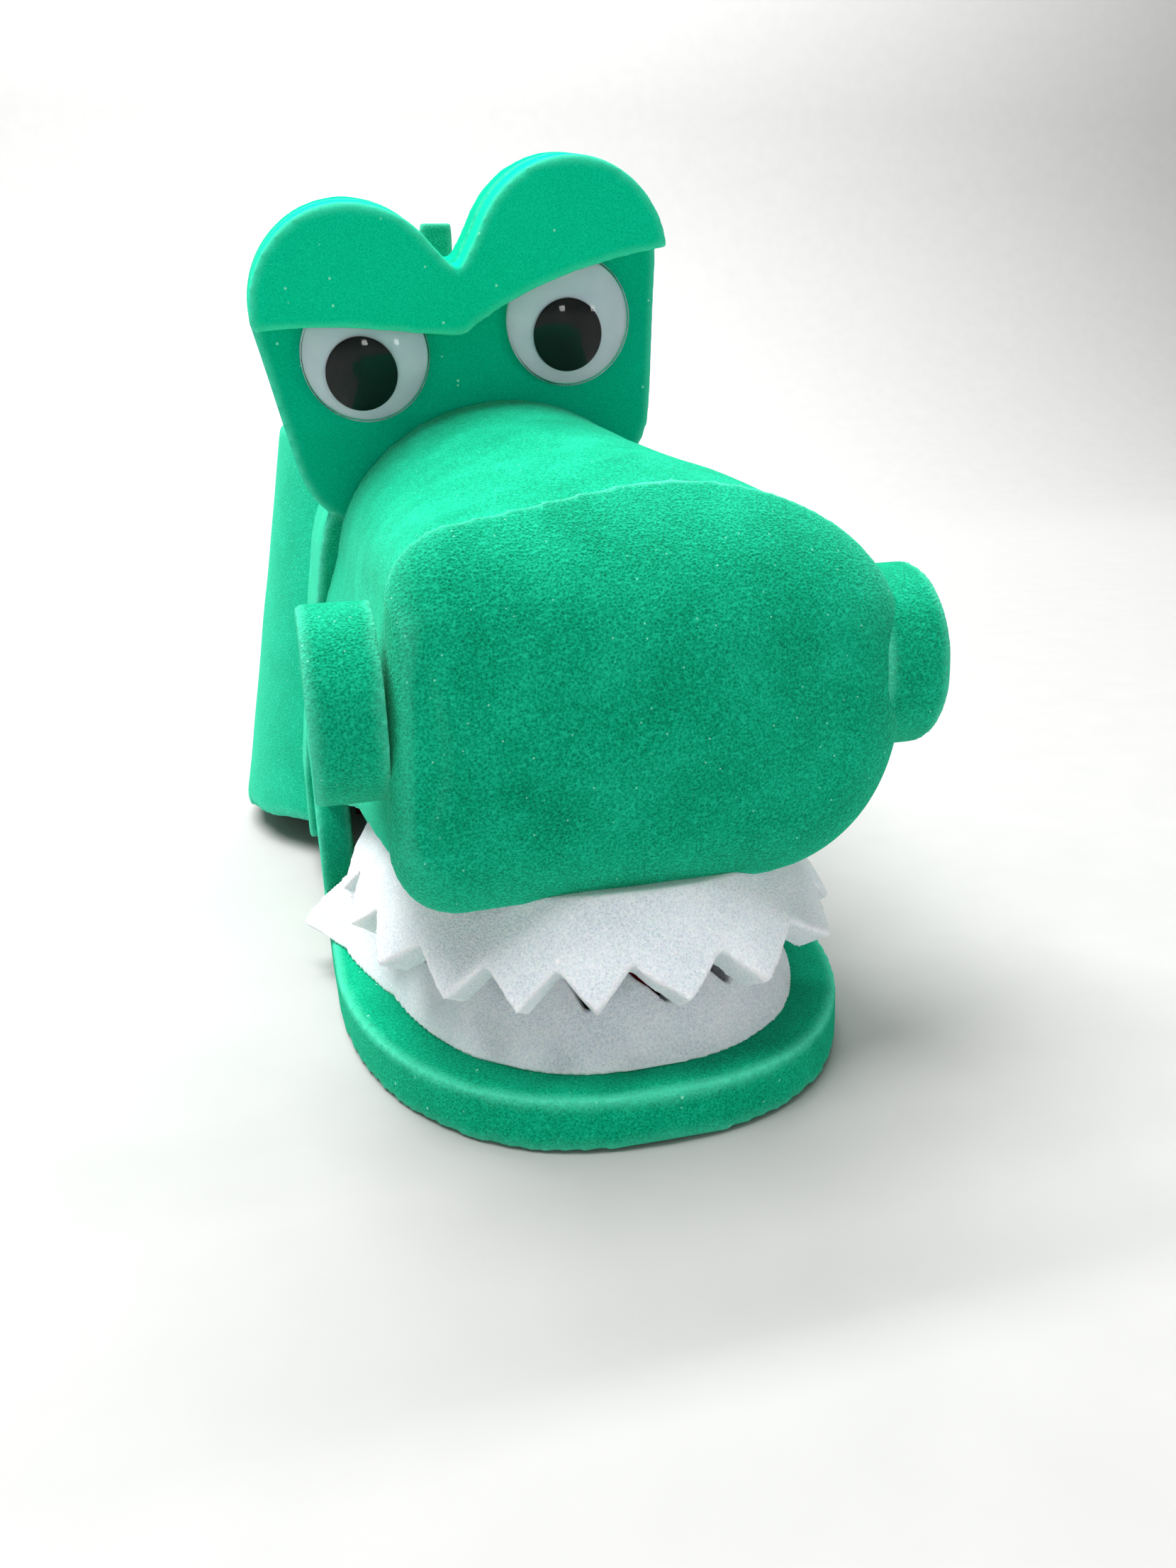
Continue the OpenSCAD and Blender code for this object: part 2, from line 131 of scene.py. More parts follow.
# smooth split sheets; their greens lie closer together and a little lighter than the snout's
boardFoam = dict(greenFoam, dark="#009A76", mid="#02AE88", light="#04BE96", cell=0.6, mottle=30, patches=0.1,
                 bump=0.22, sheen=0.1, sparkle=6.5)
# the brow is given lighter greens than the board
browFoam = dict(boardFoam, dark="#02AE84", mid="#04C496", light="#12D2A4")
deepFoam = dict(greenFoam, dark="#00704D", mid="#009E73", light="#18C092", patches=0.18, bump=0.45, sheen=0.2,
                sparkle=6)
# the white foam's edge colour is a painted edge highlight too
whiteFoam = dict(greenFoam, dark="#C0CDD6", mid="#DEE6EC", light="#F2F5F7", edge="#F4F6F8", cell=0.7, mottle=14,
                 sparkle=9, bump=0.45, sheen=0.1, sheenTint="#FFFFFF", scatter=0.25, scatterMm=3,
                 paintedGlintColour="#FFFFFF")


# how far the foam's dark and light tones lie from its middle one, and how much each scale of grain counts
toneBelow, toneAbove = 0.17, 0.19
grainShare, cellShare = 0.55, 0.22


def makeFoam(name, foam):
    material, tree, output, coords = newMaterial(name)
    cells = addNode(tree, "ShaderNodeTexVoronoi", {"Scale": 1 / (foam["cell"] * mm), "Randomness": 1},
                    {"Vector": coords})
    grain = addNode(tree, "ShaderNodeTexNoise", {"Scale": 1.6 / (foam["cell"] * mm), "Detail": 2},
                    {"Vector": coords})
    mottle = addNode(tree, "ShaderNodeTexNoise", {"Scale": 1 / (foam["mottle"] * mm), "Detail": 3},
                     {"Vector": coords})
    grainMix = addNode(tree, "ShaderNodeMath", {1: grainShare}, {0: grain.outputs["Fac"]},
                       operation="MULTIPLY")
    cellMix = addNode(tree, "ShaderNodeMath", {1: cellShare}, {0: cells.outputs["Distance"]},
                      operation="MULTIPLY")
    patchMix = addNode(tree, "ShaderNodeMath", {1: foam["patches"]}, {0: mottle.outputs["Fac"]},
                       operation="MULTIPLY")
    both = addNode(tree, "ShaderNodeMath", links={0: grainMix.outputs[0], 1: cellMix.outputs[0]},
                   operation="ADD")
    tone = addNode(tree, "ShaderNodeMath", links={0: both.outputs[0], 1: patchMix.outputs[0]},
                   operation="ADD")
    middle = 0.36 + foam["patches"] / 2
    colour = addNode(tree, "ShaderNodeValToRGB", links={"Fac": tone.outputs[0]},
                     stops=[(middle - toneBelow, linear(foam["dark"])), (middle, linear(foam["mid"])),
                            (middle + toneAbove, linear(foam["light"]))])

    # painted highlight: convex cut edges are painted paler, standing in for the light the foam scatters along its
    # edges
    geometry = addNode(tree, "ShaderNodeNewGeometry")
    edge = addNode(tree, "ShaderNodeValToRGB", links={"Fac": geometry.outputs["Pointiness"]},
                   stops=[(0.505, grey(0)), (0.56, grey(0.75))])
    edgeHighlighted = addNode(tree, "ShaderNodeMix", {"B": linear(foam["edge"])},
                    {"Factor": edge.outputs["Color"], "A": colour.outputs["Color"]}, data_type="RGBA")

    # painted glints: a few cell walls face the light like tiny mirrors, and their glints are painted pale into the
    # base colour
    glints = addNode(tree, "ShaderNodeTexVoronoi", {"Scale": 1 / (foam["sparkle"] * mm), "Randomness": 1},
                     {"Vector": coords})
    glint = addNode(tree, "ShaderNodeValToRGB", links={"Fac": glints.outputs["Distance"]},
                    stops=[(0.045, grey(0.7)), (0.075, grey(0))])
    final = addNode(tree, "ShaderNodeMix", {"B": linear(foam["paintedGlintColour"])},
                    {"Factor": glint.outputs["Color"], "A": edgeHighlighted.outputs["Result"]}, data_type="RGBA")

    height = addNode(tree, "ShaderNodeMath", links={0: grain.outputs["Fac"], 1: cells.outputs["Distance"]},
                     operation="ADD")
    bump = addNode(tree, "ShaderNodeBump", {"Strength": foam["bump"], "Distance": 0.35 * mm},
                   {"Height": height.outputs[0]})
    shader = addNode(tree, "ShaderNodeBsdfPrincipled",
                     {"Roughness": 0.9, "Specular IOR Level": foam["gloss"], "Sheen Weight": foam["sheen"],
                      "Sheen Roughness": 0.55, "Sheen Tint": linear(foam["sheenTint"]),
                      "Subsurface Weight": foam["scatter"], "Subsurface Scale": foam["scatterMm"] * mm},
                     {"Base Color": final.outputs["Result"], "Normal": bump.outputs["Normal"]})
    tree.links.new(shader.outputs[0], output.inputs["Surface"])
    return material


def makeFelt(name, felt):
    material, tree, output, coords = newMaterial(name)
    fibres = addNode(tree, "ShaderNodeTexNoise",
                     {"Scale": 1 / (felt["fibre"] * mm), "Detail": 4, "Distortion": 1.2}, {"Vector": coords})
    colour = addNode(tree, "ShaderNodeValToRGB", links={"Fac": fibres.outputs["Fac"]},
                     stops=[(0.3, linear(felt["dark"])), (0.7, linear(felt["light"]))])
    bump = addNode(tree, "ShaderNodeBump", {"Strength": 0.4, "Distance": 0.3 * mm},
                   {"Height": fibres.outputs["Fac"]})
    shader = addNode(tree, "ShaderNodeBsdfPrincipled",
                     {"Roughness": 0.95, "Specular IOR Level": 0.2, "Sheen Weight": 0.3,
                      "Sheen Tint": linear(felt["light"])},
                     {"Base Color": colour.outputs["Color"], "Normal": bump.outputs["Normal"]})
    tree.links.new(shader.outputs[0], output.inputs["Surface"])
    return material


def makeWebbing(name, webbing):
    material, tree, output, coords = newMaterial(name)
    weave = addNode(tree, "ShaderNodeTexWave",
                    {"Scale": 1 / (webbing["thread"] * mm) / 6.28, "Distortion": 0.4, "Detail": 1},
                    {"Vector": coords}, bands_direction="DIAGONAL")
    colour = addNode(tree, "ShaderNodeValToRGB", links={"Fac": weave.outputs["Fac"]},
                     stops=[(0.2, linear(webbing["dark"])), (0.8, linear(webbing["light"]))])
    bump = addNode(tree, "ShaderNodeBump", {"Strength": 0.5, "Distance": 0.3 * mm},
                   {"Height": weave.outputs["Fac"]})
    shader = addNode(tree, "ShaderNodeBsdfPrincipled", {"Roughness": 0.75, "Sheen Weight": 0.1},
                     {"Base Color": colour.outputs["Color"], "Normal": bump.outputs["Normal"]})
    tree.links.new(shader.outputs[0], output.inputs["Surface"])
    return material


def makePlastic(name, plastic):
    material, tree, output, coords = newMaterial(name)
    haze = addNode(tree, "ShaderNodeTexNoise", {"Scale": 1 / (plastic["hazeMm"] * mm), "Detail": 2},
                   {"Vector": coords})
    colour = addNode(tree, "ShaderNodeValToRGB", links={"Fac": haze.outputs["Fac"]},
                     stops=[(0.3, linear(plastic["dark"])), (0.7, linear(plastic["light"]))])
    shader = addNode(tree, "ShaderNodeBsdfPrincipled",
                     {"Roughness": plastic["roughness"], "IOR": plastic["ior"],
                      "Specular IOR Level": plastic["gloss"],
                      "Transmission Weight": plastic.get("clear", 0)},
                     {"Base Color": colour.outputs["Color"]})
    tree.links.new(shader.outputs[0], output.inputs["Surface"])
    return material


materials = {
    "green_foam": makeFoam("polyurethaneFoamGreen", greenFoam),
    # painted shade: the darker copy for the camera-facing block and nostrils
    "pad_foam_shaded": makeFoam("polyurethaneFoamShadedFront", shadedPadFoam),
    "neck_foam": makeFoam("polyurethaneFoamPale", neckFoam),
    "board_foam": makeFoam("polyurethaneFoamSplit", boardFoam),
    "brow_foam": makeFoam("polyurethaneFoamSplitPale", browFoam),
    "deep_green_foam": makeFoam("polyurethaneFoamDeepGreen", deepFoam),
    "white_foam": makeFoam("polyurethaneFoamWhite", whiteFoam),
    "mouth_lining": makeFelt("needledFeltRed", {"dark": "#8A0810", "light": "#C01822", "fibre": 1.2}),
    "stiff_board": makeFelt("pressedCardGrey", {"dark": "#57524B", "light": "#6B655D", "fibre": 2.5}),
    "stitch_thread": makeFelt("sewingThreadRed", {"dark": "#7A0D16", "light": "#B2222C", "fibre": 0.4}),
    "webbing": makeWebbing("wovenPolyesterBlack", {"dark": "#16161A", "light": "#2E2E34", "thread": 0.9}),
    # vacuum-formed styrene, opaque white
    "eye_white": makePlastic("styreneWhite", {"dark": "#DFE4F3", "light": "#EDEFF9", "hazeMm": 9,
                                              "roughness": 0.35, "gloss": 0.3, "ior": 1.5}),
    # the same sheet in clear, with a high gloss
    "eye_clear": makePlastic("styreneClear", {"dark": "#FBFCFD", "light": "#FFFFFF", "hazeMm": 12,
                                              "roughness": 0.02, "gloss": 0.5, "ior": 1.2, "clear": 1}),
    "pupil_black": makePlastic("punchedVinylBlack", {"dark": "#060507", "light": "#0D0B0E", "hazeMm": 5,
                                                     "roughness": 0.4, "gloss": 0.1, "ior": 1.5}),
}
print("materials ready")


# mesh helpers

def newPiece(name, vertices, faces):
    mesh = bpy.data.meshes.new(name)
    mesh.from_pydata([tuple(v) for v in vertices], [], faces)
    mesh.update()
    piece = bpy.data.objects.new(name, mesh)
    bpy.context.scene.collection.objects.link(piece)
    return piece


def shadeSmooth(piece):
    for face in piece.data.polygons:
        face.use_smooth = True


def bake(piece):
    graph = bpy.context.evaluated_depsgraph_get()
    graph.update()
    mesh = bpy.data.meshes.new_from_object(piece.evaluated_get(graph))
    old = piece.data
    piece.modifiers.clear()
    piece.data = mesh
    mesh.name = piece.name
    if old.users == 0:
        bpy.data.meshes.remove(old)


def outwards(piece):
    work = bmesh.new()
    work.from_mesh(piece.data)
    bmesh.ops.remove_doubles(work, verts=work.verts, dist=1e-6)
    bmesh.ops.recalc_face_normals(work, faces=work.faces)
    work.to_mesh(piece.data)
    work.free()


def nodeCopy(name, node):
    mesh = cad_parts[node].data.copy()
    mesh.materials.clear()
    piece = bpy.data.objects.new(name, mesh)
    bpy.context.scene.collection.objects.link(piece)
    work = bmesh.new()
    work.from_mesh(mesh)
    bmesh.ops.remove_doubles(work, verts=work.verts, dist=2e-6)
    work.to_mesh(mesh)
    work.free()
    return piece


def cut(piece, *cutters):
    for cutter in cutters:
        step = piece.modifiers.new("cut", "BOOLEAN")
        step.operation = "DIFFERENCE"
        step.solver = "EXACT"
        step.object = cutter
    bake(piece)
    for cutter in cutters:
        bpy.data.objects.remove(cutter)


def softenFoam(piece, voxel, rounds, wobble=0.3, wobbleMm=24):
    remesh = piece.modifiers.new("skin", "REMESH")
    remesh.mode = "VOXEL"
    remesh.voxel_size = voxel * mm
    smooth = piece.modifiers.new("soft", "SMOOTH")
    smooth.factor = 0.5
    smooth.iterations = rounds
    bake(piece)
    mesh = piece.data
    normals = [v.normal.copy() for v in mesh.vertices]
    for vertex, normal in zip(mesh.vertices, normals):
        swell = noise.noise(vertex.co / (wobbleMm * mm)) * wobble
        vertex.co += normal * (swell * mm)
    mesh.update()
    shadeSmooth(piece)


def finishPiece(piece, body, slot, nodes=(), look=None):
    piece.data.materials.clear()
    piece.data.materials.append(materials[look or slot])
    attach(piece, body)
    if nodes:
        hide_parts(*nodes)


def arc(cx, cz, r, start, end, steps):
    return [(cx + r * math.cos(math.radians(start + (end - start) * i / steps)),
             cz + r * math.sin(math.radians(start + (end - start) * i / steps))) for i in range(steps + 1)]


def extrudeOutline(name, outline, depthLow, depthHigh, toPlace):
    count = len(outline)
    front = [toPlace(x, depthLow, z) for x, z in outline]
    back = [toPlace(x, depthHigh, z) for x, z in outline]
    faces = [list(range(count)), list(range(2 * count - 1, count - 1, -1))]
    faces += [[i, i + count, (i + 1) % count + count, (i + 1) % count] for i in range(count)]
    piece = newPiece(name, front + back, faces)
    outwards(piece)
    return piece


def ringSolid(name, rings):
    count = len(rings[0])
    vertices = [p for ring in rings for p in ring]
    faces = []
    for i in range(len(rings) - 1):
        for k in range(count):
            a, b = i * count + k, i * count + (k + 1) % count
            faces.append([a, b, b + count, a + count])
    faces.append(list(range(count)))
    last = (len(rings) - 1) * count
    faces.append(list(range(last + count - 1, last - 1, -1)))
    piece = newPiece(name, vertices, faces)
    outwards(piece)
    return piece


def revolve(name, profile, toPlace, steps=96):
    # the profile runs from axis to axis: each end point lies on the axis
    vertices, faces = [toPlace(0, 0, profile[0][1])], []
    inner = profile[1:-1]
    for i in range(steps):
        a = math.tau * i / steps
        vertices += [toPlace(r * math.cos(a), r * math.sin(a), h) for r, h in inner]
    vertices.append(toPlace(0, 0, profile[-1][1]))
    n, end = len(inner), len(vertices) - 1
    for i in range(steps):
        a, b = 1 + i * n, 1 + (i + 1) % steps * n
        faces.append([0, a, b])
        faces += [[a + k, a + k + 1, b + k + 1, b + k] for k in range(n - 1)]
        faces.append([a + n - 1, end, b + n - 1])
    piece = newPiece(name, vertices, faces)
    outwards(piece)
    return piece


# neck, crown, crest, head, jaw: soft skins over the frame's own solids

softSkins = [
    ("neckSleeve", "neck_sleeve", "head", "green_foam", "neck_foam", 2.4, 5),
    ("crownCap", "crown", "head", "green_foam", "neck_foam", 2.0, 5),
    ("crownCrest", "crown_crest", "head", "deep_green_foam", "neck_foam", 1.1, 4),
    ("backCrest", "back_crest", "head", "deep_green_foam", "neck_foam", 1.1, 4),
    ("headTube", "head_tube", "head", "green_foam", "neck_foam", 1.2, 4),
    ("jawPlate", "jaw_plate", "jaw", "deep_green_foam", "deep_green_foam", 1.5, 5),
    ("leftJawCheek", "left_jaw_cheek", "jaw", "deep_green_foam", "neck_foam", 1.2, 4),
    ("rightJawCheek", "right_jaw_cheek", "jaw", "deep_green_foam", "neck_foam", 1.2, 4),
]

for name, node, body, slot, look, voxel, rounds in softSkins:
    piece = nodeCopy(name, node)
    softenFoam(piece, voxel, rounds)
    finishPiece(piece, body, slot, [node], look=look)
print("neck, head and jaw ready")


# eye board and brow

board = {
    "thickness": 12.7, "lean": 14, "turn": -8, "footZ": 122.6,
    "leftLobe": (-34, 89.4, 31), "rightLobe": (34, 92.6, 31),
    "leftWaist": (-34.5, 46, 27), "rightWaist": (32, 46, 26),
    "point": (0, -12, 10),
    "eyeX": 32.9, "eyeZ": 75.8,
}
boardTurn = (Matrix.Translation((0, 0, board["footZ"]))
             @ Matrix.Rotation(math.radians(board["lean"]), 4, "X")
             @ Matrix.Rotation(math.radians(board["turn"]), 4, "Y"))


def onBoard(x, y, z):
    p = boardTurn @ Vector((x, y, z))
    return place(p.x, p.y, p.z)


def hullOutline(circles, steps=72):
    # support points of the circles' hull, one for each direction
    outline = []
    for i in range(steps):
        a = math.tau * i / steps
        d = (math.cos(a), math.sin(a))
        x, z, r = max(circles, key=lambda c: c[0] * d[0] + c[1] * d[1] + c[2])
        outline.append((x + r * d[0], z + r * d[1]))
    return outline


leftHalf = hullOutline([board["leftLobe"], board["leftWaist"], board["point"]])
rightHalf = hullOutline([board["rightLobe"], board["rightWaist"], board["point"]])
# foam left standing between the lobes, under the notch
bridges = [[(-20, 60), (-0.9, 60), (-0.9, 96.8), (-7.5, 105.2), (-20, 105)],
           [(-1, 60), (20, 60), (20, 108), (6.2, 106.4), (-1, 97.2)]]


def radiusAt(outlines, centre, angle, reach=400):
    # how far a ray from the centre goes before it leaves the union of convex outlines
    d = (math.cos(angle), math.sin(angle))
    best = 0
    for outline in outlines:
        for i, (ax, az) in enumerate(outline):
            bx, bz = outline[(i + 1) % len(outline)]
            ex, ez = bx - ax, bz - az
            det = ez * d[0] - ex * d[1]
            if abs(det) < 1e-12:
                continue
            qx, qz = ax - centre[0], az - centre[1]
            t = (qx * ez - qz * ex) / det
            s = (qx * d[1] - qz * d[0]) / det
            if t > 0 and -1e-9 <= s <= 1 + 1e-9:
                best = max(best, t)
    return best


def heartOutline(steps=200):
    centre = (0, 50)
    return [(centre[0] + r * math.cos(a), centre[1] + r * math.sin(a))
            for a in [math.tau * i / steps for i in range(steps)]
            for r in [radiusAt([leftHalf, rightHalf, *bridges], centre, a)]]


brow = {"endZ": 91.6, "dip": 13.2, "halfWidth": 65, "power": 1.9, "tilt": 2.3, "tiltOver": 14, "dipX": -3,
        "pocketRadius": 20.3}


def browEdge(x):
    part = 1 - min(1, abs(x - brow["dipX"]) / brow["halfWidth"])
    return brow["endZ"] - brow["dip"] * part ** brow["power"] + brow["tilt"] * math.tanh(
        (x - brow["dipX"]) / brow["tiltOver"])


def tunnelCutter(inset, yFront, yBack, zLow):
    r = head["archR"] - inset
    side = [(-head["cheekX"] + inset, zLow), (-head["cheekX"] + inset, 40), (-head["cheekX"] + 8 + inset, 97)]
    outline = side + arc(0, head["archZ"], r, 174, 6, 24) + [(-x, z) for x, z in reversed(side)]
    return extrudeOutline("tunnelCutter", outline, yFront, yBack, place)


head = {"archR": 57.3, "archZ": 122.6, "cheekX": 76, "foam": 12.7}

eyeBoard = extrudeOutline("eyeBoard", heartOutline(), 0, board["thickness"], onBoard)
cut(eyeBoard, tunnelCutter(head["foam"] + 1, -80, 80, 14))
softenFoam(eyeBoard, 1.3, 8)
finishPiece(eyeBoard, "head", "green_foam", ["eye_board"], look="board_foam")

belowBrow = [(-90, -60), (90, -60)] + [(x, browEdge(x)) for x in range(90, -91, -2)]
browPiece = extrudeOutline("browLayer", heartOutline(), -board["thickness"], 0, onBoard)
pocketRings = [arc(side * board["eyeX"], board["eyeZ"], brow["pocketRadius"], 0, 352.5, 47) for side in (-1, 1)]
pockets = [extrudeOutline("pocket", ring, -8, 3, onBoard) for ring in pocketRings]
cut(browPiece, extrudeOutline("belowBrow", belowBrow, -40, 20, onBoard), *pockets)
softenFoam(browPiece, 1.1, 10)
finishPiece(browPiece, "head", "deep_green_foam", ["brow"], look="brow_foam")
print("eye board and brow ready")


# googly eyes

eye = {"radius": 20, "backThick": 1, "rim": 2, "cap": 7, "wall": 0.5,
       "pupilRadius": 11.2, "pupilThick": 1, "pupilGap": 0.3,
       "leftPupil": (-2.2, -5.1), "rightPupil": (-0.7, -4.3)}


def capLine(r, rim, h, steps):
    # foot edge up the rim, then over the cap to its top
    ballR = (r * r + h * h) / (2 * h)
    start = math.asin(r / ballR)
    return [(r, 0)] + [(ballR * math.sin(start * (1 - i / steps)),
                        rim + h - ballR + ballR * math.cos(start * (1 - i / steps))) for i in range(steps + 1)]


def onEye(side, shift=(0, 0)):
    def toPlace(x, y, h):
        return onBoard(side * board["eyeX"] + x + shift[0], -h, board["eyeZ"] + y + shift[1])
    return toPlace


def makeEye(side, word):
    rEye, wall, foot = eye["radius"], eye["wall"], eye["backThick"]
    outer = [(r, foot + h) for r, h in capLine(rEye, eye["rim"], eye["cap"], 28)]
    inner = [(r, foot + h) for r, h in capLine(rEye - wall, eye["rim"], eye["cap"] - wall, 28)]
    dome = revolve(word + "EyeDome", [(0, inner[-1][1])] + inner[-2::-1] + outer[:-1] + [(0, outer[-1][1])],
                   onEye(side), 128)
    shadeSmooth(dome)
    finishPiece(dome, "head", "eye_clear", [word + "_eye_dome"])

    edge = 0.3
    back = revolve(word + "EyeBack", [(0, 0), (rEye - edge, 0), (rEye, edge), (rEye, foot - edge),
                                      (rEye - edge, foot), (0, foot)], onEye(side), 128)
    finishPiece(back, "head", "eye_white", [word + "_eye_back"])

    low = foot + eye["pupilGap"]
    rPupil, high = eye["pupilRadius"], low + eye["pupilThick"]
    pupil = revolve(word + "Pupil", [(0, low), (rPupil - edge, low), (rPupil, low + edge), (rPupil, high - edge),
                                     (rPupil - edge, high), (0, high)], onEye(side, eye[word + "Pupil"]), 96)
    finishPiece(pupil, word + "_pupil", "pupil_black", [word + "_pupil"])


makeEye(-1, "left")
makeEye(1, "right")
print("eyes ready")


# snout

snout = {
    "length": 171, "padBack": -158.3, "leftX": -57.2, "rightX": 67.5, "lowZ": 57, "highZ": 155,
    "leftLean": 0.065, "leftDrop": 8, "faceRound": 12, "faceBulge": 1.8, "centreZ": 107,
    # each corner: its width, its height and how square it is
    "topRight": (60, 50, 2.4), "topLeft": (15, 15, 2), "lowLeft": (18, 20, 2), "lowRight": (40, 46, 2.25),
    # how far the face's rounding reaches in from each side
    "roundLeft": 0.45, "roundRight": 1.2, "roundLow": 1.3, "roundHigh": 1.9,
    "topLean": 22, "leanFrom": 116, "lowTuck": 7, "rollFrom": 122, "roll": 3,
}


def padOutline(inset, steps=16):
    left, right = snout["leftX"] + inset * snout["roundLeft"], snout["rightX"] - inset * snout["roundRight"]
    low, high = snout["lowZ"] + inset * snout["roundLow"], snout["highZ"] - inset * snout["roundHigh"]
    outline = []
    for sx, sz, key, start in ((1, 1, "topRight", 0), (-1, 1, "topLeft", 90),
                               (-1, -1, "lowLeft", 180), (1, -1, "lowRight", 270)):
        wide, tall, square = snout[key]
        rx = min(max(1, wide - inset), (right - left) * 0.6 if sx > 0 else (right - left) * 0.35)
        rz = min(max(1, tall - inset), (high - low) * 0.48)
        cx = right - rx if sx > 0 else left + rx
        cz = high - rz if sz > 0 else low + rz
        for i in range(steps + 1):
            a = math.radians(start + 90 * i / steps)
            c, d = math.cos(a), math.sin(a)
            x = cx + rx * math.copysign(abs(c) ** (2 / square), c)
            z = cz + rz * math.copysign(abs(d) ** (2 / square), d)
            leftness = max(0, min(1, (10 - x) / 60))
            x += snout["leftLean"] * (z - snout["centreZ"]) * leftness
            z -= snout["leftDrop"] * leftness * max(0, min(1, (z - 110) / 30))
            outline.append((x, z))
    return outline


def snoutSection(t, inset):
    centre = (0, snout["centreZ"])
    side = [(-head["cheekX"], -30), (-head["cheekX"], 40), (-head["cheekX"] + 8, 97)]
    rear = [side[0], side[1], side[2]] + arc(0, head["archZ"], head["archR"], 174, 6, 40)
    rear += [(-x, z) for x, z in reversed(side)]
    front = padOutline(0)
    blend = max(0, min(1, t)) ** 0.85
    ring = []
    steps = 160
    for i in range(steps):
        a = math.tau * i / steps
        rearR = radiusAt([rear], centre, a)
        step = 1.2 + 2.2 * max(0, math.cos(a - math.radians(160)))
        frontR = radiusAt([front], centre, a) - step
        r = rearR + (frontR - rearR) * blend - inset
        ring.append(place(centre[0] + r * math.cos(a), snout["padBack"] * t, centre[1] + r * math.sin(a)))
    return ring


mouth = {"lipZ": 65, "teethBackY": -90, "foldY": -2, "foldZ": 44,
         "hingeY": 12, "hingeZ": 36, "hingeRoom": 34.5, "cutReach": 150}


def leanCutter():
    # everything behind the eye board's leaning front face
    lean = math.tan(math.radians(board["lean"]))
    points = []
    for x in (-200, 200):
        for y, z in ((-(-100 - board["footZ"]) * lean, -100), (-(300 - board["footZ"]) * lean, 300),
                     (200, 300), (200, -100)):
            points.append(place(x, y, z))
    piece = newPiece("leanCutter", points, [[0, 1, 2, 3], [7, 6, 5, 4], [0, 4, 5, 1], [1, 5, 6, 2],
                                            [2, 6, 7, 3], [3, 7, 4, 0]])
    outwards(piece)
    return piece


def acrossPlace(y, x, z):
    return place(x, y, z)


def mouthCutter():
    # level under the teeth, then down to the mouth's fold
    line = [(-300, -50), (-300, mouth["lipZ"]), (mouth["teethBackY"], mouth["lipZ"]),
            (mouth["foldY"], mouth["foldZ"]), (60, mouth["foldZ"]), (60, -50)]
    return extrudeOutline("mouthCutter", line, -mouth["cutReach"], mouth["cutReach"], acrossPlace)


def hingeCutter():
    outline = arc(mouth["hingeY"], mouth["hingeZ"], mouth["hingeRoom"], 0, 354, 59)
    return extrudeOutline("hingeCutter", outline, -mouth["cutReach"], mouth["cutReach"], acrossPlace)


def rollFront(piece):
    # the snout's top curves down into its front, over the joint of the cover and the block
    start, end = place(0, -snout["rollFrom"], 0).y, place(0, -snout["length"], 0).y
    for vertex in piece.data.vertices:
        part = max(0, (vertex.co.y - start) / (end - start))
        height = max(0, vertex.co.z / mm - snout["centreZ"]) / (snout["highZ"] - snout["centreZ"])
        across = 0.6 + 0.4 * max(0, min(1, (vertex.co.x / mm + 50) / 60))
        rise = max(0, vertex.co.z / mm - snout["leanFrom"]) / (snout["highZ"] - snout["leanFrom"])
        vertex.co.z -= snout["roll"] * part ** 2 * height * mm
        vertex.co.y += snout["topLean"] * across * rise ** 2 * part * mm


stations = [-0.35, -0.2, -0.1] + [i / 24 for i in range(25)]
snoutCover = ringSolid("snoutCover", [snoutSection(t, 0) for t in stations])
core = ringSolid("snoutCore", [snoutSection(t, head["foam"]) for t in [-0.5] + stations + [1.05]])
cut(snoutCover, core, leanCutter(), mouthCutter(), hingeCutter())
softenFoam(snoutCover, 1.6, 5)
rollFront(snoutCover)
finishPiece(snoutCover, "head", "green_foam", ["snout_cover"])

padRings = []
for y, inset in ((snout["padBack"], 2.2), (snout["padBack"] - 0.7, 0.8), (snout["padBack"] - 2, 0)):
    padRings.append([place(x, y, z) for x, z in padOutline(inset)])
for i in range(13):
    a = math.radians(90 * i / 12)
    inset = snout["faceRound"] * (1 - math.cos(a))
    y = -snout["length"] + snout["faceBulge"] + snout["faceRound"] * (1 - math.sin(a)) * 0.85
    padRings.append([place(x, y, z) for x, z in padOutline(inset)])
for i in range(1, 9):
    inset = snout["faceRound"] + 2.2 * i
    y = -snout["length"] + snout["faceBulge"] * math.cos(math.radians(90 * i / 8)) ** 2
    padRings.append([place(x, y, z) for x, z in padOutline(inset)])
frontPad = ringSolid("snoutFrontPad", padRings)
softenFoam(frontPad, 1.2, 4, wobble=0.5, wobbleMm=30)
# the face tucks in under its lower edge
padBack = place(0, snout["padBack"], 0).y
for vertex in frontPad.data.vertices:
    z = vertex.co.z / mm
    forward = max(0, min(1, (padBack - vertex.co.y) / (snout["length"] + snout["padBack"]) / mm))
    back = snout["lowTuck"] * max(0, (84 - z) / 27) ** 2
    vertex.co.y += back * forward * mm
rollFront(frontPad)
finishPiece(frontPad, "head", "green_foam", ["snout_front_pad"], look="pad_foam_shaded")

nostril = {"radius": 23, "y": -145.7, "z": 107, "middleX": 1.3, "inner": 58.5, "outer": 75.1, "edge": 0.8}


def makeNostril(side, word):
    r, edge = nostril["radius"], nostril["edge"]
    low, high = nostril["inner"], nostril["outer"]
    profile = [(0, low), (r, low)] + [(r - edge + edge * math.cos(math.radians(a)),
                                       high - edge + edge * math.sin(math.radians(a))) for a in range(0, 91, 15)]
    profile.append((0, high))

    def toPlace(x, y, h):
        return place(nostril["middleX"] + side * h, nostril["y"] + x, nostril["z"] + y)
    disc = revolve(word + "Nostril", profile, toPlace, 96)
    softenFoam(disc, 1.1, 3)
    finishPiece(disc, "head", "green_foam", [word + "_nostril"], look="pad_foam_shaded")


makeNostril(-1, "left")
makeNostril(1, "right")
print("snout ready")


# teeth

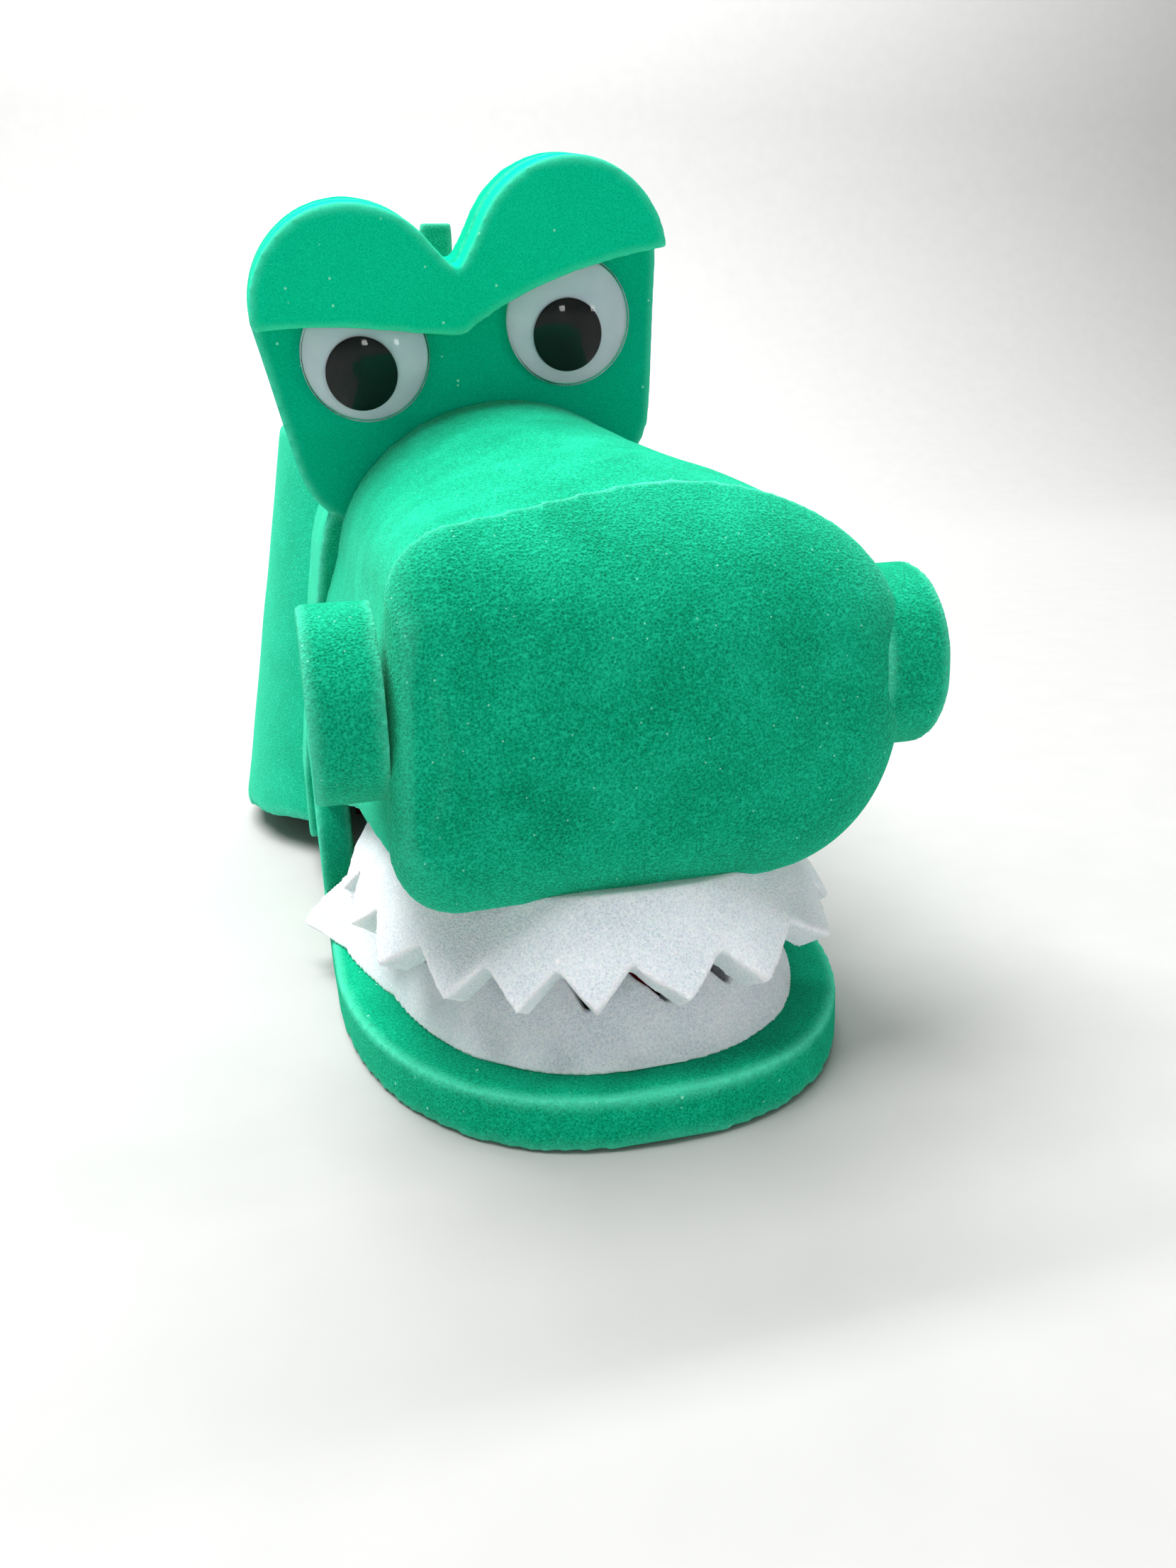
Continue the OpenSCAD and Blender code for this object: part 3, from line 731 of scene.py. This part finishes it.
upperTeeth = {
    "halfWidth": 51.5, "depth": 73, "y": -90, "footZ": 65, "tipZ": 36, "valleyZ": 45, "step": 17,
    "tips": [-106, -84, -65, -43, -26, -10.5, 3, 19, 47, 68, 88, 107], "reach": 118,
    "footFall": 0.2386, "edgeFall": 0, "splay": 0, "thickness": 10, "footCut": 5.5,
}
lowerTeeth = {
    "halfWidth": 61.3, "depth": 100.5, "y": -68.5, "footZ": 14, "tipZ": 38, "valleyZ": 27, "step": -13,
    "tips": [-106, -88, -72, -55, -37, -20, -4, 12, 32, 54, 74, 92, 108], "reach": 117,
    "footFall": 0, "edgeFall": 0.3, "splay": 0.45, "thickness": 10, "footCut": 0,
}
roundness = 2.39
splayFrom = 72


def bow(angle, halfWidth, depth):
    # a superellipse round the front; past 90 degrees straight back, a millimetre for each degree
    if abs(angle) > 90:
        return math.copysign(halfWidth, angle), abs(angle) - 90
    s, c = math.sin(math.radians(angle)), math.cos(math.radians(angle))
    return math.copysign(halfWidth * abs(s) ** (2 / roundness), s), -depth * abs(c) ** (2 / roundness)


def zigzagHeight(angle, teeth):
    marks = [(-teeth["reach"], 0)]
    for i, tip in enumerate(teeth["tips"]):
        if i:
            marks.append(((teeth["tips"][i - 1] + tip) / 2, 0))
        marks.append((tip, 1))
    marks.append((teeth["reach"], 0))
    for (a, va), (b, vb) in zip(marks, marks[1:]):
        if angle <= b + 1e-6:
            part = va + (vb - va) * (angle - a) / (b - a)
            return teeth["valleyZ"] + (teeth["tipZ"] - teeth["valleyZ"]) * part
    return teeth["valleyZ"]


def toothStrip(name, teeth, rowsDown=12, rowsThrough=6):
    marks = {-teeth["reach"], teeth["reach"]} | set(teeth["tips"])
    marks |= {(a + b) / 2 for a, b in zip(teeth["tips"], teeth["tips"][1:])}
    marks = sorted(marks)
    angles = []
    for a, b in zip(marks, marks[1:]):
        steps = max(4, round((b - a) / 1.1))
        angles += [a + (b - a) * i / steps for i in range(steps)]
    angles.append(marks[-1])
    rise = teeth["tipZ"] - teeth["footZ"]
    slant = math.hypot(rise, teeth["step"])
    t = teeth["thickness"]
    through = t * abs(rise) / slant         # a cut square to the sheet: how far in it goes
    under = t * abs(teeth["step"]) / slant  # and how far down
    rings = []
    for angle in angles:
        tail = max(0, abs(angle) - 90)
        shift = -teeth["splay"] * max(0, -angle - splayFrom)
        # the foot is cut away in front, under the hanging pad
        footZ = teeth["footZ"] - teeth["footFall"] * tail
        footZ -= teeth["footCut"] * max(0, min(1, (48 - abs(angle)) / 10))
        edgeZ = zigzagHeight(angle, teeth) - teeth["edgeFall"] * tail

        def point(z, depthIn, drop):
            part = (z - teeth["footZ"]) / rise
            out = teeth["step"] * part - depthIn
            x, y = bow(angle, teeth["halfWidth"] + out, teeth["depth"] + out)
            return place(x + shift, teeth["y"] + y, z - drop)
        ring = [point(footZ + (edgeZ - footZ) * k / rowsDown, 0, 0) for k in range(rowsDown)]
        ring += [point(edgeZ, through * k / rowsThrough, under * k / rowsThrough) for k in range(rowsThrough)]
        ring += [point(edgeZ + (footZ - edgeZ) * k / rowsDown, t + (through - t) * (1 - k / rowsDown),
                       under * (1 - k / rowsDown)) for k in range(rowsDown)]
        ring += [point(footZ, t * (1 - k / rowsThrough), 0) for k in range(rowsThrough)]
        rings.append(ring)
    strip = ringSolid(name, rings)
    triangulate = strip.modifiers.new("ends", "TRIANGULATE")
    triangulate.min_vertices = 5
    bake(strip)
    softenFoam(strip, 0.9, 3, wobble=0.4, wobbleMm=12)
    return strip


finishPiece(toothStrip("upperTeeth", upperTeeth), "head", "white_foam", ["upper_teeth"])
finishPiece(toothStrip("lowerTeeth", lowerTeeth), "jaw", "white_foam", ["lower_teeth"])
print("teeth ready")


# inside the mouth

def sheetSize(piece):
    # the cut's width and length, measured along the sheet
    spots = [v.co for v in piece.data.vertices]
    wide = max(p.x for p in spots) - min(p.x for p in spots)
    deep = max(p.y for p in spots) - min(p.y for p in spots)
    tall = max(p.z for p in spots) - min(p.z for p in spots)
    return wide, math.hypot(deep, tall)


for name, node, body in (("palateLining", "palate_lining", "head"), ("jawLining", "jaw_lining", "jaw")):
    lining = nodeCopy(name, node)
    softenFoam(lining, 0.7, 2, wobble=0.15, wobbleMm=9)
    finishPiece(lining, body, "mouth_lining", [node])
    size = sheetSize(lining)

fold = nodeCopy("mouthFold", "mouth_fold")
softenFoam(fold, 0.7, 4, wobble=0.4, wobbleMm=14)
finishPiece(fold, "head", "mouth_lining", ["mouth_fold"])

for node in ("palate_board", "jaw_board"):
    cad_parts[node].data.materials.clear()
    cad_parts[node].data.materials.append(materials["stiff_board"])

strap = {"thread": 0.45, "stitch": 2.6, "gap": 1.4, "edge": 2.5, "voxel": 0.5}
band = nodeCopy("fingerStrap", "finger_strap")
softenFoam(band, strap["voxel"], 6, wobble=0.2, wobbleMm=15)
finishPiece(band, "head", "webbing", ["finger_strap"])


def stitchTree():
    tree = bpy.data.node_groups.new("stitchRow", "GeometryNodeTree")
    sockets = tree.interface
    sockets.new_socket("Geometry", in_out="INPUT", socket_type="NodeSocketGeometry")
    for key in ("Pitch", "Stitch", "Thread"):
        sockets.new_socket(key, in_out="INPUT", socket_type="NodeSocketFloat")
    sockets.new_socket("Geometry", in_out="OUTPUT", socket_type="NodeSocketGeometry")
    given = addNode(tree, "NodeGroupInput").outputs
    path = addNode(tree, "GeometryNodeMeshToCurve", links={"Mesh": given["Geometry"]})
    spots = addNode(tree, "GeometryNodeCurveToPoints", links={"Curve": path.outputs["Curve"],
                                                              "Length": given["Pitch"]}, mode="LENGTH")
    half = addNode(tree, "ShaderNodeMath", {1: 0.5}, {0: given["Stitch"]}, operation="MULTIPLY")
    back = addNode(tree, "ShaderNodeMath", {1: -0.5}, {0: given["Stitch"]}, operation="MULTIPLY")
    start = addNode(tree, "ShaderNodeCombineXYZ", links={"Z": back.outputs[0]})
    end = addNode(tree, "ShaderNodeCombineXYZ", links={"Z": half.outputs[0]})
    lift = addNode(tree, "ShaderNodeCombineXYZ", links={"X": given["Thread"]})
    thread = addNode(tree, "GeometryNodeCurveQuadraticBezier", {"Resolution": 8},
                     {"Start": start.outputs[0], "Middle": lift.outputs[0], "End": end.outputs[0]})
    ringLine = addNode(tree, "GeometryNodeCurvePrimitiveCircle", {"Resolution": 8},
                       {"Radius": given["Thread"]})
    tube = addNode(tree, "GeometryNodeCurveToMesh", {"Fill Caps": True},
                   {"Curve": thread.outputs["Curve"], "Profile Curve": ringLine.outputs["Curve"]})
    row = addNode(tree, "GeometryNodeInstanceOnPoints", links={
        "Points": spots.outputs["Points"], "Instance": tube.outputs["Mesh"], "Rotation": spots.outputs["Rotation"]})
    real = addNode(tree, "GeometryNodeRealizeInstances", links={"Geometry": row.outputs["Instances"]})
    painted = addNode(tree, "GeometryNodeSetMaterial", {"Material": materials["stitch_thread"]},
                      {"Geometry": real.outputs["Geometry"]})
    addNode(tree, "NodeGroupOutput", links={"Geometry": painted.outputs["Geometry"]})
    return tree


def stitchRow(name, spots, body):
    row = newPiece(name, spots, [])
    row.data.edges.add(len(spots) - 1)
    for i, edge in enumerate(row.data.edges):
        edge.vertices = (i, i + 1)
    step = row.modifiers.new("stitches", "NODES")
    step.node_group = stitchTree()
    values = {"Pitch": (strap["stitch"] + strap["gap"]) * mm, "Stitch": strap["stitch"] * mm,
              "Thread": strap["thread"] * mm}
    for item in step.node_group.interface.items_tree:
        if item.item_type == "SOCKET" and item.in_out == "INPUT" and item.name in values:
            step[item.identifier] = values[item.name]
    bake(row)
    finishPiece(row, body, "webbing", look="stitch_thread")


strapLow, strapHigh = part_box("finger_strap")
top = strapHigh.z + strap["thread"] * 0.2 * mm
inset = strap["edge"] * mm
stitchRow("strapStitches", [(strapLow.x + 3 * inset, strapLow.y + inset, top),
                            (strapHigh.x - 3 * inset, strapLow.y + inset, top)], "head")
print("mouth ready")


# studio

def areaLight(name, position, target, size, watts):
    data = bpy.data.lights.new(name, "AREA")
    data.shape = "RECTANGLE"
    data.size, data.size_y = size
    data.energy = watts
    light = bpy.data.objects.new(name, data)
    light.location = position
    light.rotation_euler = (Vector(target) - Vector(position)).to_track_quat("-Z", "Y").to_euler()
    bpy.context.scene.collection.objects.link(light)


# place, aim, size in metres, then power
studioLights = {
    "overhead": ((-0.35, -0.12, 1.25), (0, -0.05, 0.08), (0.8, 0.8), 23),
    "window": ((-1.3, -0.9, 0.6), (0, -0.1, 0.2), (0.2, 0.5), 1.2),
    "lampA": ((0.014, -1.35, 0.09), (0, -0.05, 0.2), (0.13, 0.13), 1.5),
    "lampB": ((0.81, -1.09, 0.11), (0, -0.05, 0.2), (0.13, 0.13), 1.5),
    "backdropWash": ((0, 1.3, 2.4), (0, 2.2, 0.7), (2.8, 0.5), 130),
}
backdrop = {"bendY": 1.4, "bendR": 0.8, "top": 4, "halfWidth": 9, "drop": 0.0006}


def makeStudio():
    scene = bpy.context.scene
    scene.view_settings.view_transform = "Standard"
    world = bpy.data.worlds.new("paleRoom")
    world.use_nodes = True
    world.node_tree.nodes["Background"].inputs["Color"].default_value = linear("#FFFFFF")
    world.node_tree.nodes["Background"].inputs["Strength"].default_value = 0.3
    scene.world = world
    for name, light in studioLights.items():
        areaLight(name, *light)
    bend = [math.radians(a) for a in range(10, 91, 10)]
    profile = [(y, 0) for y in (-6, -1, 0, 1, backdrop["bendY"])]
    profile += [(backdrop["bendY"] + backdrop["bendR"] * math.sin(a),
                 backdrop["bendR"] - backdrop["bendR"] * math.cos(a)) for a in bend]
    profile.append((backdrop["bendY"] + backdrop["bendR"], backdrop["top"]))
    points = [(x, y, z - backdrop["drop"]) for x in (-backdrop["halfWidth"], backdrop["halfWidth"])
              for y, z in profile]
    n = len(profile)
    floor = newPiece("paleFloor", points, [[i, i + n, i + n + 1, i + 1] for i in range(n - 1)])
    shadeSmooth(floor)
    material, tree, output, coords = newMaterial("mattPaper")
    tone = addNode(tree, "ShaderNodeTexNoise", {"Scale": 40, "Detail": 2}, {"Vector": coords})
    colour = addNode(tree, "ShaderNodeValToRGB", links={"Fac": tone.outputs["Fac"]},
                     stops=[(0, linear("#B3B3B2")), (1, linear("#B9B9B8"))])
    shader = addNode(tree, "ShaderNodeBsdfPrincipled", {"Roughness": 0.9, "Specular IOR Level": 0.1},
                     {"Base Color": colour.outputs["Color"]})
    tree.links.new(shader.outputs[0], output.inputs["Surface"])
    floor.data.materials.append(material)


makeStudio()
print("studio ready")
